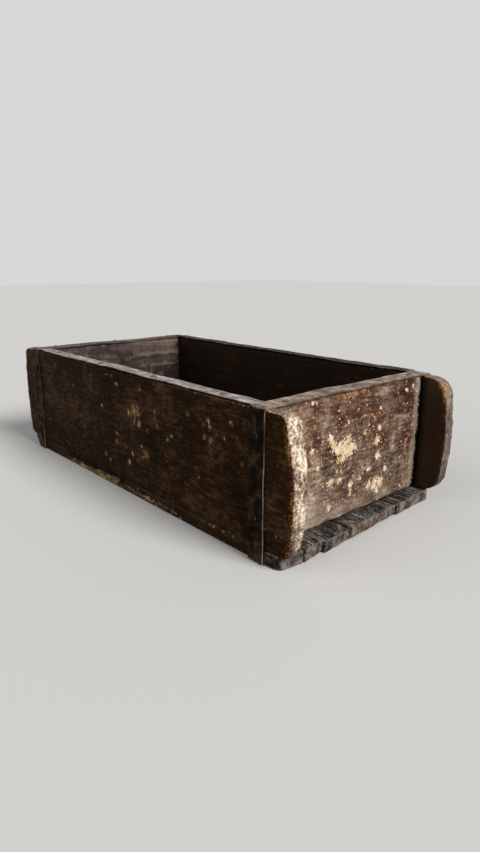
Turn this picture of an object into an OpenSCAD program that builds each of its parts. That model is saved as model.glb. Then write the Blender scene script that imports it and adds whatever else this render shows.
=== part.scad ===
// Brick mould: an open wooden box that shapes one hand-made brick, bound with iron.
// X runs along the mould, Y across it and Z up. The origin is on the ground under its middle.
// The front side board faces -Y and the right end board faces +X.

/* [Clay space] */
// Inside length, between the end boards
clay_l = 252; // [180:1:320]
// Inside width, between the side boards
clay_w = 129; // [100:1:180]
// Inside depth, from the planks up to the top edge of the boards
clay_d = 75; // [60:1:110]

/* [Boards] */
// Thickness of the side boards
side_t = 9.5; // [7.5:0.5:16]
// Thickness of the end boards
end_t = 11; // [9:0.5:18]
// Depth of the grooves in the side boards that hold the end boards
groove_d = 3; // [1:0.5:4]
// Play of an end board at each side of its groove
groove_play = 0.1; // [0.05:0.05:0.3]
// How far the ears of the side boards reach past the end boards
ear_l = 20; // [14:1:36]
// Radius of the bowed ends of the ears
ear_bow_r = 130; // [100:5:300]
// Round at the top corner of the ears: front left, front right, rear left, rear right
ear_top_r = [6, 6, 8, 8]; // [2:0.5:12]
// Round at the foot corner of the ears, in the same order
ear_foot_r = [8, 4, 9, 10]; // [2:0.5:12]

/* [Base planks] */
// Thickness of the base planks
base_t = 8; // [6:0.5:14]
// Place of the seam between the front and the middle plank, across the mould
front_seam_y = -17; // [-24:1:-8]
// Place of the seam between the middle and the rear plank, across the mould
rear_seam_y = 31; // [16:1:34]
// Width of the seams
seam_w = 0.6; // [0.2:0.1:1.5]
// How far the front, the middle and the rear plank reach past the end boards
ledge = [12, 11, 10]; // [4:0.5:18]
// Round worn on the four corners of the base
base_corner_r = 6; // [2:0.5:10]

/* [Iron] */
// Thickness of the strap and strip iron
iron_t = 1.2; // [0.8:0.1:2]
// Width of the end straps
strap_w = 11; // [8:0.5:18]
// Inside radius of the bends in the end straps
bend_r = 1.5; // [0.5:0.25:2.5]
// Height of the strap ends above the ground
strap_foot = 0.6; // [0.2:0.1:4]
// Gap between a rim strip and the straps at its ends
butt_gap = 0.3; // [0.1:0.1:1]

/* [Nails] */
// Shank radius of the nails
nail_r = 0.9; // [0.6:0.05:1.1]
// Head radius of the nails
head_r = 2.1; // [1.6:0.1:2.8]
// Height of the domed nail heads
head_h = 0.7; // [0.4:0.1:1.2]
// Length of the pointed end of a nail
nail_point = 4; // [2:0.5:6]
// Radius of a nail's blunt tip
nail_tip_r = 0.2; // [0.1:0.05:0.4]
// Clearance of a nail in its hole
nail_fit = 0.05; // [0.02:0.01:0.1]
// Length of the nails through the strap legs, under the head
leg_nail_l = 26; // [18:1:32]
// Length of the nails through the rim strips and over the end boards, under the head
rim_nail_l = 18; // [10:1:24]
// Length of the nails up through the base planks, under the head
base_nail_l = 28; // [18:1:36]
// Depth of the base nail heads below the face of the planks
base_nail_sink = 0.3; // [0.1:0.1:1]
// Distance of the upper leg nail from the top edge of the boards
leg_nail_drop = 14; // [8:1:22]
// Distance of the lower leg nail from the planks
leg_nail_rise = 17; // [8:1:22]
// Offset of the nails from the middle of the strap, the leg nails inwards and the others outwards
nail_stagger = 1.4; // [1.3:0.1:2]
// Number of nails in a rim strip
rim_nails = 4; // [2:1:8]
// Distance of the first and last nail from the ends of a rim strip
rim_nail_inset = 27; // [10:1:40]
// Number of nails over an end board
top_nails = 3; // [2:1:5]
// Distance of the first and last of those from the outside of the boards
top_nail_inset = 18; // [14:1:30]
// Number of nails from an outer plank into the side board on it
side_nails = 4; // [2:1:6]
// Distance of the first and last of those from the end boards
side_nail_inset = 30; // [10:1:50]
// Distance from a seam to the nails that hold a plank to the end boards
seam_nail_inset = 9; // [6:1:12]

/* [Hidden] */
$fn = 48;
bow_fn = 360;

LEFT = -1;
RIGHT = 1;
FRONT = -1;
REAR = 1;
BOTH = [-1, 1];

dark_wood = "#3b2c20";
end_wood = "#5a4536";
plank_wood = "#4a4038";
strap_iron = "#4b4742";
nail_iron = "#37332f";

// Cuts run this far past the faces that they open.
past = 1;
// A nail hole is this much deeper than its nail.
hole_spare = 0.3;
// The round on an ear's corner is this share of the one that just touches both edges, so it crosses them.
round_ease = 1.01;

box_w = clay_w + 2 * side_t;
board_top = base_t + clay_d;
rim_top = board_top + iron_t;
end_in_x = clay_l / 2;
end_out_x = end_in_x + end_t;
ear_x = end_out_x + ear_l;
side_in_y = clay_w / 2;
side_out_y = box_w / 2;
side_mid_y = side_in_y + side_t / 2;
strap_x = end_in_x + end_t / 2;
strap_out_y = side_out_y + iron_t;
rim_l = 2 * (strap_x - strap_w / 2 - butt_gap);
base_nail_set = head_h + base_nail_sink;
leg_nail_z = [base_t + leg_nail_rise, board_top - leg_nail_drop];
plank_edges = [
    [-side_out_y, front_seam_y - seam_w / 2],
    [front_seam_y + seam_w / 2, rear_seam_y - seam_w / 2],
    [rear_seam_y + seam_w / 2, side_out_y]
];
end_nail_y = [
    [front_seam_y - seam_nail_inset],
    [front_seam_y + seam_nail_inset, rear_seam_y - seam_nail_inset],
    [rear_seam_y + seam_nail_inset]
];

// n places spread evenly from -reach to reach
function spread(n, reach) = [for (i = [0:n - 1]) reach * (2 * i / (n - 1) - 1)];

// One nail, its head's underside at the origin and its point down
module nail(length) {
    dome_r = (head_r * head_r + head_h * head_h) / (2 * head_h);
    color(nail_iron) {
        translate([0, 0, nail_point - length]) cylinder(r = nail_r, h = length - nail_point);
        translate([0, 0, -length]) cylinder(r1 = nail_tip_r, r2 = nail_r, h = nail_point);
        intersection() {
            cylinder(r = head_r, h = head_h);
            translate([0, 0, head_h - dome_r]) sphere(r = dome_r);
        }
    }
}

// The hole that such a nail goes into, open above the head's underside
module nail_hole(length) {
    translate([0, 0, -length - hole_spare])
        cylinder(r = nail_r + nail_fit, h = length + hole_spare + past);
}

// Places of the nails, with the head outwards
module at_leg_nails(end) {
    for (side = BOTH, z = leg_nail_z)
        translate([end * (strap_x - nail_stagger), side * strap_out_y, z])
            rotate([-90 * side, 0, 0]) children();
}

module at_top_nails(end) {
    for (y = spread(top_nails, side_out_y - top_nail_inset))
        translate([end * (strap_x + nail_stagger), y, rim_top]) children();
}

module at_rim_nails(side) {
    for (x = spread(rim_nails, rim_l / 2 - rim_nail_inset))
        translate([x, side * side_mid_y, rim_top]) children();
}

module at_end_base_nails(plank) {
    for (end = BOTH, y = end_nail_y[plank])
        translate([end * (strap_x + nail_stagger), y, base_nail_set]) rotate([180, 0, 0]) children();
}

module at_side_base_nails(side) {
    for (x = spread(side_nails, end_in_x - side_nail_inset))
        translate([x, side * side_mid_y, base_nail_set]) rotate([180, 0, 0]) children();
}

module at_base_nails(plank) {
    at_end_base_nails(plank) children();
    if (plank != 1) at_side_base_nails(plank - 1) children();
}

// A rectangle from low to high, whose corners are rounded one by one
// in the order low left, low right, high left, high right
module rounded_plate(low, high, radii) {
    corners = [
        [low[0], low[1], 1, 1], [high[0], low[1], -1, 1],
        [low[0], high[1], 1, -1], [high[0], high[1], -1, -1]
    ];
    difference() {
        translate(low) square(high - low);
        for (i = [0:3])
            if (radii[i] > 0)
                translate([corners[i][0], corners[i][1]])
                    mirror([corners[i][2] < 0 ? 1 : 0, 0])
                        mirror([0, corners[i][3] < 0 ? 1 : 0])
                            difference() {
                                translate([-past, -past]) square(radii[i] + past);
                                translate([radii[i], radii[i]]) circle(r = radii[i]);
                            }
    }
}

// A plank runs under the boards and out past both ends. 0 is the front, 1 the middle and 2 the rear one.
module base_plank(plank) {
    x = end_out_x + ledge[plank];
    front_r = plank == 0 ? base_corner_r : 0;
    rear_r = plank == 2 ? base_corner_r : 0;
    color(plank_wood)
        difference() {
            linear_extrude(base_t)
                rounded_plate([-x, plank_edges[plank][0]], [x, plank_edges[plank][1]],
                              [front_r, front_r, rear_r, rear_r]);
            at_base_nails(plank) {
                nail_hole(base_nail_l);
                cylinder(r = head_r + nail_fit, h = base_nail_set + past);
            }
        }
}

// What a round of radius r takes off the corner where the bow of an ear meets its top edge,
// measured from the middle of the bow's circle
module ear_corner_cut(r) {
    edge_z = clay_d / 2;
    round_z = edge_z - r;
    round_x = sqrt(pow(ear_bow_r - r, 2) - pow(round_z, 2));
    reach = ear_bow_r + past;
    lean = atan2(round_z, round_x);
    difference() {
        polygon([
            [round_x, round_z], [round_x, edge_z + past], [reach, edge_z + past],
            [reach * cos(lean), reach * sin(lean)]
        ]);
        translate([round_x, round_z]) circle(r = r * round_ease);
    }
}

// Outline of the right end of a side board, from the inside of the end board to the tip of the ear
module ear_outline(top_r, foot_r) {
    bow_middle = [ear_x - ear_bow_r, base_t + clay_d / 2];
    difference() {
        intersection() {
            translate([end_in_x, base_t]) square([ear_x - end_in_x, clay_d]);
            translate(bow_middle) circle(r = ear_bow_r, $fn = bow_fn);
        }
        translate(bow_middle) ear_corner_cut(top_r);
        translate(bow_middle) mirror([0, 1]) ear_corner_cut(foot_r);
    }
}

// A side board stands on the planks. Its ends are the ears that the moulder holds.
// Two grooves take the end boards, and its top outer edge is eased to the bends of the straps.
module side_board(side) {
    left = side == FRONT ? 0 : 2;
    right = left + 1;
    color(dark_wood)
        difference() {
            intersection() {
                translate([0, side * side_mid_y + side_t / 2, 0]) rotate([90, 0, 0])
                    linear_extrude(side_t) {
                        translate([-end_out_x, base_t]) square([2 * end_out_x, clay_d]);
                        mirror([1, 0]) ear_outline(ear_top_r[left], ear_foot_r[left]);
                        ear_outline(ear_top_r[right], ear_foot_r[right]);
                    }
                translate([-ear_x, 0, 0]) rotate([90, 0, 90])
                    linear_extrude(2 * ear_x)
                        mirror([side == FRONT ? 1 : 0, 0])
                            rounded_plate([side_in_y, base_t], [side_out_y, board_top], [0, 0, 0, bend_r]);
            }
            for (end = BOTH)
                translate([end * strap_x, side * side_in_y, base_t + clay_d / 2])
                    cube([end_t + 2 * groove_play, 2 * groove_d, clay_d + 2 * past], center = true);
            for (end = BOTH) at_leg_nails(end) nail_hole(leg_nail_l);
            at_rim_nails(side) nail_hole(rim_nail_l);
            at_side_base_nails(side) nail_hole(base_nail_l);
        }
}

// An end board stands on the planks with its ends in the grooves of the side boards.
module end_board(end) {
    color(end_wood)
        difference() {
            translate([end * strap_x, 0, base_t + clay_d / 2])
                cube([end_t, clay_w + 2 * (groove_d - groove_play), clay_d], center = true);
            at_leg_nails(end) nail_hole(leg_nail_l);
            at_top_nails(end) nail_hole(rim_nail_l);
            for (plank = [0:2]) at_end_base_nails(plank) nail_hole(base_nail_l);
        }
}

// A rim strip covers the top edge of a side board between the two straps.
module rim_strip(side) {
    color(strap_iron)
        difference() {
            translate([0, side * side_mid_y, board_top + iron_t / 2])
                cube([rim_l, side_t, iron_t], center = true);
            at_rim_nails(side) nail_hole(rim_nail_l);
        }
}

// A strap runs over an end board and bends down over the side boards and the edges of the base.
module end_strap(end) {
    color(strap_iron)
        difference() {
            translate([end * strap_x - strap_w / 2, 0, 0]) rotate([90, 0, 90])
                linear_extrude(strap_w)
                    difference() {
                        rounded_plate([-strap_out_y, strap_foot], [strap_out_y, rim_top],
                                      [0, 0, bend_r + iron_t, bend_r + iron_t]);
                        rounded_plate([-side_out_y, -past], [side_out_y, board_top], [0, 0, bend_r, bend_r]);
                    }
            at_leg_nails(end) nail_hole(leg_nail_l);
            at_top_nails(end) nail_hole(rim_nail_l);
        }
}

module strap_leg_nails(end) { at_leg_nails(end) nail(leg_nail_l); }
module strap_top_nails(end) { at_top_nails(end) nail(rim_nail_l); }
module rim_strip_nails(side) { at_rim_nails(side) nail(rim_nail_l); }
module base_nails(plank) { at_base_nails(plank) nail(base_nail_l); }

base_plank(0);  // base_plank_front
base_plank(1);  // base_plank_middle
base_plank(2);  // base_plank_rear
side_board(FRONT);  // front_side_board
side_board(REAR);  // rear_side_board
end_board(LEFT);  // left_end_board
end_board(RIGHT);  // right_end_board
rim_strip(FRONT);  // front_rim_strip
rim_strip(REAR);  // rear_rim_strip
end_strap(LEFT);  // left_end_strap
end_strap(RIGHT);  // right_end_strap
strap_leg_nails(LEFT);  // left_strap_leg_nails
strap_leg_nails(RIGHT);  // right_strap_leg_nails
strap_top_nails(LEFT);  // left_strap_top_nails
strap_top_nails(RIGHT);  // right_strap_top_nails
rim_strip_nails(FRONT);  // front_rim_nails
rim_strip_nails(REAR);  // rear_rim_nails
base_nails(0);  // base_nails_front
base_nails(1);  // base_nails_middle
base_nails(2);  // base_nails_rear
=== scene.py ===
"""An old wooden brick mould: worn boards on cracked planks, bound with hoop iron and nailed."""
import math
import random

import bpy
import numpy
from mathutils import Matrix, Vector, kdtree


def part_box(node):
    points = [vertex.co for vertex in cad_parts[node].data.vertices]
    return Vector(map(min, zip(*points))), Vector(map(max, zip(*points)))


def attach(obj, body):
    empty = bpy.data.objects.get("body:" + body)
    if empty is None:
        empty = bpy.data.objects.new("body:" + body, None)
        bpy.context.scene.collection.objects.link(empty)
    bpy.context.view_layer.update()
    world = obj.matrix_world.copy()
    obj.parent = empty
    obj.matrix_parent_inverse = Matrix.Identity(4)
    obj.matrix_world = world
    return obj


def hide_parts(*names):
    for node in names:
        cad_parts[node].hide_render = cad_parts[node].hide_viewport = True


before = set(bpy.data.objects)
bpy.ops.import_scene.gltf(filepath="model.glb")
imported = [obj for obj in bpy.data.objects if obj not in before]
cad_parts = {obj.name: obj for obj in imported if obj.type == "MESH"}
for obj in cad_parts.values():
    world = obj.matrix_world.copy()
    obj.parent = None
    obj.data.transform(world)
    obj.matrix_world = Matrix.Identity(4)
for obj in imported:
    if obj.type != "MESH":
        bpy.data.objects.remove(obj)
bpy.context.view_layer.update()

# Base planks
# Three planks of odd widths lie side by side under the box. They are sawn hardwood, gone grey and split
# where their ends stick out past the end boards, and they are nailed up into the boards from below.
MM = 0.001
PLANK_VOXEL = 0.68 * MM
# where the sound part of a plank ends, and where its ledge begins
PLANK_CUT = 137.2 * MM
LEDGE = 139 * MM
# half the width of the base, and how far from the middle the splinters start, in mm
BASE_EDGE = 74
SPLINTER_ROOT = 130
# splinters that each plank has split into past the end boards, in mm: from and to across the mould,
# tip along it, height of the top and of the foot, skew and lean of the broken tip, radius of the outer corner
SPLINTERS = {
    "base_plank_front": (
        (-74, -57.2, 148.8, 8, 0, -0.10, -0.06, 6), (-55.8, -42, 149.8, 7.9, 0.4, 0.1, -0.12, 0),
        (-40.6, -17.4, 150.3, 8, 0, 0.06, -0.12, 0), (-74, -52, -148.2, 8, 0, 0.12, -1.1, 0),
        (-50.4, -31, -149.2, 7.8, 0.3, -0.1, -0.08, 0), (-29.6, -17.4, -148.1, 8, 0, 0.15, -0.08, 0),
    ),
    "base_plank_middle": (
        (-16.6, 30.6, 148.8, 8, 0.9, 0.05, -0.08, 0),
        (-16.6, 3, -147.4, 8, 0.8, 0.1, -0.2, 0), (4.5, 30.6, -148.2, 7.9, 0.2, -0.06, -0.2, 0),
    ),
    "base_plank_rear": (
        (31.4, 74, 147.1, 8, 0, 0.05, -0.08, 11),
        (31.4, 47.6, -146.6, 8, 0.3, 0.07, -0.2, 0), (49.2, 74, -147.2, 7.9, 0, -0.1, -0.2, 7),
    ),
}
# the cuts that round an outer corner, in degrees
CORNER_CUTS = (15, 32, 49, 66, 80)
# a crack that slants in from the corner of the front plank: its place, lowest and highest corner, and turn
CRACK_AT = (145, -21.5, 6)
CRACK_LOW = (-9, -0.45, 0.8)
CRACK_HIGH = (9, 0.45, 6)
CRACK_TURN = -41
# slivers torn from the outer edge of the front plank: middle, height, half the length, turn in degrees
TEARS = ((-58, 9.2, 30, 0.8), (-26, 8.6, 24, -1.2))
TEAR_REACH = 4 * MM
TEAR_DROP = 6 * MM
TEAR_SLANT = 36
# raw wood along that edge: from x, up to x, the step, how far in from the edge, z and radius
RAW_EDGES = ((-42, -12, 4, 0, 3.4, 5.4), (-78, -42, 4, 0, 1.4, 4), (-10, 62, 3, -1.9, 3.2, 3.6))
# raw spots along its upper arris: each x, how far in from the edge, z and radius
RAW_ARRIS = ((86, 92, 95, 104, 112), 0.6, 7.2, 2)
# raw spots across the broken right end of the middle plank: each y, z and radius
RAW_END = ((-12, -6, 0, 6, 12, 18), 2, 9)
# specks of torn wood on the outer edge of the front plank: x, z and radius
SPECKS = (
    (-70, 4, 2), (-60, 3, 1.6), (-52, 4, 1.8), (-7, 3.4, 2), (0, 4.5, 1.4), (6, 4, 1.7), (11, 2, 1.2),
    (16, 6, 1.6), (20, 3, 1.3), (25, 1.4, 1.8), (31, 3, 1.2), (38, 1.7, 2.2), (41, 4.5, 1.3), (44, 0.4, 1.6),
    (49, 2.2, 1.1), (54, 0.6, 1.6), (64, 1.3, 1.6),
)
# nail holes from below: half the spread along the mould, place across it
NAIL_HOLES = {
    "base_plank_front": ((96, -69.25), (32, -69.25), (132.9, -26)),
    "base_plank_middle": ((132.9, -8), (132.9, 22)),
    "base_plank_rear": ((96, 69.25), (32, 69.25), (132.9, 40)),
}
NAIL_HOLE_RADIUS = 2.6 * MM
NAIL_HOLE_DEPTH = 1.1 * MM
# up to this height the arrises wear by only a share of what the upper ones do
LOW_ARRIS = 4 * MM
LOW_WEAR = 0.25
# from where to where along the mould the tips grow uneven, in mm
TIPS = (140, 145)


def take(piece):
    """Makes a piece the active one and the only one selected."""
    bpy.ops.object.select_all(action="DESELECT")
    piece.select_set(True)
    bpy.context.view_layer.objects.active = piece


def stock(name, low, high):
    """A squared piece of stock between two corners, with its place in its mesh."""
    low, high = Vector(low), Vector(high)
    bpy.ops.object.select_all(action="DESELECT")
    bpy.ops.mesh.primitive_cube_add(size=1, location=(low + high) / 2, scale=high - low)
    bpy.ops.object.transform_apply(location=True, rotation=True, scale=True)
    piece = bpy.context.active_object
    piece.name = piece.data.name = name
    return piece


def placing(at, *turns):
    """A place and the turns about it, each by its axis and degrees. The last one is made first."""
    matrix = Matrix.Translation(at)
    for axis, degrees in turns:
        matrix = matrix @ Matrix.Rotation(math.radians(degrees), 4, axis)
    return matrix


def shave(piece, point, outward):
    """One straight cut through a piece. What lies outward of the point comes off."""
    take(piece)
    bpy.ops.object.mode_set(mode="EDIT")
    bpy.ops.mesh.select_all(action="SELECT")
    bpy.ops.mesh.bisect(plane_co=point, plane_no=outward, use_fill=True, clear_outer=True)
    bpy.ops.object.mode_set(mode="OBJECT")


def cut_out(piece, cutter):
    """Takes the shape of a cutter out of a piece."""
    take(piece)
    cut = piece.modifiers.new("cut", "BOOLEAN")
    cut.object = cutter
    cut.operation = "DIFFERENCE"
    bpy.ops.object.modifier_apply(modifier=cut.name)
    bpy.data.objects.remove(cutter)


def gather(pieces, name):
    """Joins pieces into the first of them."""
    bpy.ops.object.select_all(action="DESELECT")
    for piece in pieces:
        piece.select_set(True)
    bpy.context.view_layer.objects.active = pieces[0]
    bpy.ops.object.join()
    pieces[0].name = pieces[0].data.name = name
    return pieces[0]


def arrises(piece, spacing=1 * MM, sharp=math.radians(35)):
    """Points along the sharp edges of a piece, while it is still new."""
    mesh = piece.data
    normals = {}
    for face in mesh.polygons:
        for key in face.edge_keys:
            normals.setdefault(key, []).append(face.normal)
    points = []
    for (a, b), pair in normals.items():
        if len(pair) == 2 and pair[0].angle(pair[1]) > sharp:
            start, end = mesh.vertices[a].co, mesh.vertices[b].co
            count = max(1, round((end - start).length / spacing))
            points += [start.lerp(end, i / count) for i in range(count + 1)]
    return points


def to_arris(piece, edge_points):
    """The distance from each point of a mesh to the nearest arris."""
    tree = kdtree.KDTree(len(edge_points))
    for i, point in enumerate(edge_points):
        tree.insert(point, i)
    tree.balance()
    return [tree.find(vertex.co)[2] for vertex in piece.data.vertices]


def rising(value, start, end):
    """Rises from 0 at the start to 1 at the end."""
    return min(1.0, max(0.0, (value - start) / (end - start)))


def weigh(piece, name, weights, digits=2):
    """A vertex group with one weight, from 0 to 1, for each point of a piece. Points whose weights round
    to the same number go in together."""
    group = piece.vertex_groups.new(name=name)
    levels = {}
    for index, weight in enumerate(weights):
        levels.setdefault(round(weight, digits), []).append(index)
    for weight, indices in levels.items():
        group.add(indices, weight, "REPLACE")


def press(piece, name, kind, size, strength, still, seed, group="", stretch=(1, 1, 1), direction="NORMAL"):
    """Pushes the surface in and out by a noise of a size. Where the noise equals "still", nothing moves.
    Each seed lays the noise out from a place of its own, so that no two pieces wear alike."""
    bpy.ops.object.select_all(action="DESELECT")
    bpy.ops.object.empty_add(location=(0.31 * seed, 0.17 * seed, 0.23 * seed))
    origin = bpy.context.active_object
    origin.scale = stretch
    bpy.context.view_layer.update()
    noise = bpy.data.textures.new(name, kind)
    noise.noise_scale = size
    displace = piece.modifiers.new(name, "DISPLACE")
    displace.texture = noise
    displace.texture_coords = "OBJECT"
    displace.texture_coords_object = origin
    displace.strength = strength
    displace.mid_level = still
    displace.vertex_group = group
    displace.direction = direction
    take(piece)
    bpy.ops.object.modifier_apply(modifier=name)
    bpy.data.textures.remove(noise)
    bpy.data.objects.remove(origin)


def keep(piece, name, values):
    """Keeps one number for each point of a mesh, for its material to read."""
    attribute = piece.data.attributes.new(name, "FLOAT", "POINT")
    attribute.data.foreach_set("value", values)


def age(piece, edge_points, voxel, grain, seed, raised, reach, worn_down, chipped, exposed=lambda at: 1.0):
    """Years of use: hewn faces, raised fibres, and arrises that are worn down and chipped by a depth.
    The mesh keeps the distance in mm from each point to the nearest arris as its attribute "arris"."""
    take(piece)
    remesh = piece.modifiers.new("even_mesh", "REMESH")
    remesh.mode = "VOXEL"
    remesh.voxel_size = voxel
    bpy.ops.object.modifier_apply(modifier=remesh.name)
    distances = to_arris(piece, edge_points)
    weigh(piece, "worn", [max(0.0, 1 - distance / reach) * exposed(vertex.co)
                          for vertex, distance in zip(piece.data.vertices, distances)])
    drawn_out = (14, 1, 1) if grain == "X" else (1, 14, 1)
    press(piece, "hewn", "CLOUDS", 45 * MM, 0.9 * MM, 0.5, seed)
    press(piece, "fibres", "CLOUDS", 3.2 * MM, raised, 0.5, seed, stretch=drawn_out)
    press(piece, "worn_down", "CLOUDS", 18 * MM, worn_down, 1.0, seed, "worn")
    press(piece, "chipped", "VORONOI", 4.5 * MM, chipped, 0.7, seed, "worn")
    press(piece, "nibbled", "CLOUDS", 2.4 * MM, 0.6 * chipped, 0.6, seed, "worn")
    keep(piece, "arris", [distance / MM for distance in distances])
    piece.vertex_groups.clear()
    take(piece)
    bpy.ops.object.shade_smooth()


def mark(piece, name, places):
    """Keeps on a mesh how near each point is to a list of places: 1 at a place, 0 beyond its radius in mm."""
    at = numpy.empty(len(piece.data.vertices) * 3)
    piece.data.vertices.foreach_get("co", at)
    at = at.reshape(-1, 3) / MM
    near = numpy.zeros(len(at))
    for x, y, z, radius in places:
        near = numpy.maximum(near, 1 - numpy.linalg.norm(at - (x, y, z), axis=1) / radius)
    keep(piece, name, near)


def linear(colour):
    """An sRGB hex colour as the linear colour that a socket takes."""
    channels = (int(colour[i:i + 2], 16) / 255 for i in (1, 3, 5))
    return (*(c / 12.92 if c <= 0.04045 else ((c + 0.055) / 1.055) ** 2.4 for c in channels), 1)


def add(tree, kind, sockets, out=0, stops=(), **settings):
    """Adds one node with its settings, its sockets set or linked, and gives back one of its outputs.
    Sockets go by number. In a noise 0 is the place, 2 the scale, 3 the detail and 4 the roughness. A map
    range takes 0 from between 1 and 2 to between 3 and 4. In a mix 0 is the share, 6 and 7 are the colours,
    and 2 and 3 plain numbers."""
    node = tree.nodes.new("ShaderNode" + kind)
    for key, value in settings.items():
        setattr(node, key, value)
    if stops:
        elements = node.color_ramp.elements
        elements[0].position, elements[-1].position = stops[0][0], stops[-1][0]
        for place, colour in stops[1:-1]:
            elements.new(place)
        for element, (place, colour) in zip(elements, stops):
            element.color = linear(colour)
    for key, value in sockets.items():
        if isinstance(value, bpy.types.NodeSocket):
            tree.links.new(value, node.inputs[key])
        else:
            node.inputs[key].default_value = value
    return node.outputs[out]


def new_finish(name):
    """A new empty material, its node tree and its shader."""
    material = bpy.data.materials.new(name)
    material.use_nodes = True
    return material, material.node_tree, material.node_tree.nodes["Principled BSDF"]


def in_mm(tree):
    """The place of each point of a surface, in mm."""
    return add(tree, "VectorMath", {0: add(tree, "TexCoord", {}, 3), 3: 1000}, operation="SCALE")


def streaks(tree, at, sizes, detail, roughness):
    """A noise that is drawn out to a size in mm along each axis."""
    drawn_out = add(tree, "VectorMath", {0: at, 1: [1 / size for size in sizes]}, operation="MULTIPLY")
    return add(tree, "TexNoise", {0: drawn_out, 2: 1, 3: detail, 4: roughness})


def along_grain(tree, at, grain):
    """Places along the grain of a board, bent a little as the tree grew."""
    drift = add(tree, "TexNoise", {0: at, 2: 1 / 55, 3: 2}, 1)
    drift = add(tree, "VectorMath", {0: drift, 1: (0.5, 0.5, 0.5)}, operation="SUBTRACT")
    drift = add(tree, "VectorMath", {0: drift, 3: 9}, operation="SCALE")
    bent = add(tree, "VectorMath", {0: at, 1: drift}, operation="ADD")
    return add(tree, "Mapping", {0: bent, 2: (0, 0, 0) if grain == "X" else (0, 0, math.pi / 2)})


def grain_fields(tree, grain, fibre_mm):
    """What all the woods here share: place in mm, fibres, stains and fine grit. The fibres are drawn
    coarser than real ones, so that they show."""
    at = in_mm(tree)
    fibre = streaks(tree, along_grain(tree, at, grain), (26, fibre_mm, fibre_mm), 5, 0.65)
    stain = add(tree, "TexNoise", {0: at, 2: 1 / 34, 3: 5, 4: 0.62})
    grit = add(tree, "TexNoise", {0: at, 2: 1 / 3.4, 3: 6, 4: 0.7})
    return at, fibre, stain, grit


def mixture(tree, *parts, start=0):
    """Adds up fields, each times its share, on top of what it starts from."""
    for field, share in parts:
        start = add(tree, "Math", {0: field, 1: share, 2: start}, operation="MULTIPLY_ADD")
    return start


def dress(tree, shader, colour, coats, relief, roughness, shine, depth=1 * MM):
    """Lays the coats of a finish over its first colour, each with where it shows, and gives the shader
    the colour, the relief to a depth, the roughness, and how strongly it reflects."""
    for shows, coat in coats:
        colour = add(tree, "Mix", {0: shows, 6: colour, 7: coat}, 2, data_type="RGBA")
    bump = add(tree, "Bump", {0: 1, 1: depth, "Height": relief})
    tree.links.new(colour, shader.inputs["Base Color"])
    tree.links.new(bump, shader.inputs["Normal"])
    tree.links.new(roughness, shader.inputs["Roughness"])
    shader.inputs["Specular IOR Level"].default_value = shine


# Weathered planks. Grey, dirty faces with open fibres, browner where the wood has split or torn lately.
plank_wood, tree, shader = new_finish("weathered_sawn_plank")
at, fibre, stain, grit = grain_fields(tree, "X", 1.6)
x = add(tree, "SeparateXYZ", {0: at}, 0)
y = add(tree, "SeparateXYZ", {0: at}, 1)
facing = add(tree, "SeparateXYZ", {0: add(tree, "TexCoord", {}, 1)}).node.outputs
pepper = add(tree, "TexNoise", {0: at, 2: 1 / 1.6, 3: 4, 4: 0.7})
tone = mixture(tree, (stain, 0.25), (fibre, 0.3), (grit, 0.2), (pepper, 0.25))
# brown with clay under the box, and grey past it, the front plank a little darker than the others
clayed = add(tree, "ValToRGB", {0: tone}, stops=((0.4, "#1d1813"), (0.53, "#463d36"), (0.64, "#74695f")))
past_box = add(tree, "Math", {0: x}, operation="ABSOLUTE")
past_box = add(tree, "MapRange", {0: past_box, 1: 134, 2: 140})
front = add(tree, "MapRange", {0: y, 1: -16, 2: -18, 3: 0.008, 4: -0.008})
grey = add(tree, "Math", {0: tone, 1: front}, operation="ADD")
grey = add(tree, "ValToRGB", {0: grey},
           stops=((0.42, "#090807"), (0.475, "#2a2725"), (0.525, "#5b5651"), (0.585, "#aaa39b")))
# the long edges are oiled brown, and the broken tips are blotched
side_on = add(tree, "Math", {0: facing[1]}, operation="ABSOLUTE")
side_on = add(tree, "MapRange", {0: side_on, 1: 0.2, 2: 0.5})
side_on = add(tree, "Mix", {0: past_box, 2: side_on, 3: 0}, 0, data_type="FLOAT")
brown = add(tree, "ValToRGB", {0: tone}, stops=((0.42, "#140b05"), (0.52, "#2e1e12"), (0.62, "#5a432d")))
end_on = add(tree, "Math", {0: facing[0]}, operation="ABSOLUTE")
end_on = add(tree, "MapRange", {0: end_on, 1: 0.5, 2: 0.8})
tips = add(tree, "TexNoise", {0: at, 2: 1 / 7, 3: 7, 4: 0.75})
tips = add(tree, "ValToRGB", {0: tips}, stops=((0.38, "#2b2420"), (0.48, "#5c5149"), (0.6, "#908479")))
# raw wood, ragged round each marked place
raw = add(tree, "Attribute", {}, 2, attribute_name="raw")
crumbled = streaks(tree, at, (3, 1.6, 1.6), 6, 0.75)
ragged = mixture(tree, (crumbled, 1.5), start=raw)
ragged = add(tree, "MapRange", {0: ragged, 1: 1.06, 2: 1.22, 4: 0.9})
slant = add(tree, "Mapping", {0: at, 2: (0.7, 0, 0), 3: (1 / 9, 1 / 4, 1 / 9)})
slant = add(tree, "TexNoise", {0: slant, 2: 1, 3: 7, 4: 0.75})
bare = add(tree, "ValToRGB", {0: slant}, stops=((0.38, "#352923"), (0.5, "#67564b"), (0.62, "#a8978a")))
# on the long edges the raw wood is warmer, and painted paler to lift the shade that lies on them
fresh_and_painted_fill = add(tree, "ValToRGB", {0: slant}, stops=((0.38, "#3f2c1e"), (0.5, "#806248"), (0.62, "#c6a681")))
bare = add(tree, "Mix", {0: side_on, 6: bare, 7: fresh_and_painted_fill}, 2, data_type="RGBA")
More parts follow.
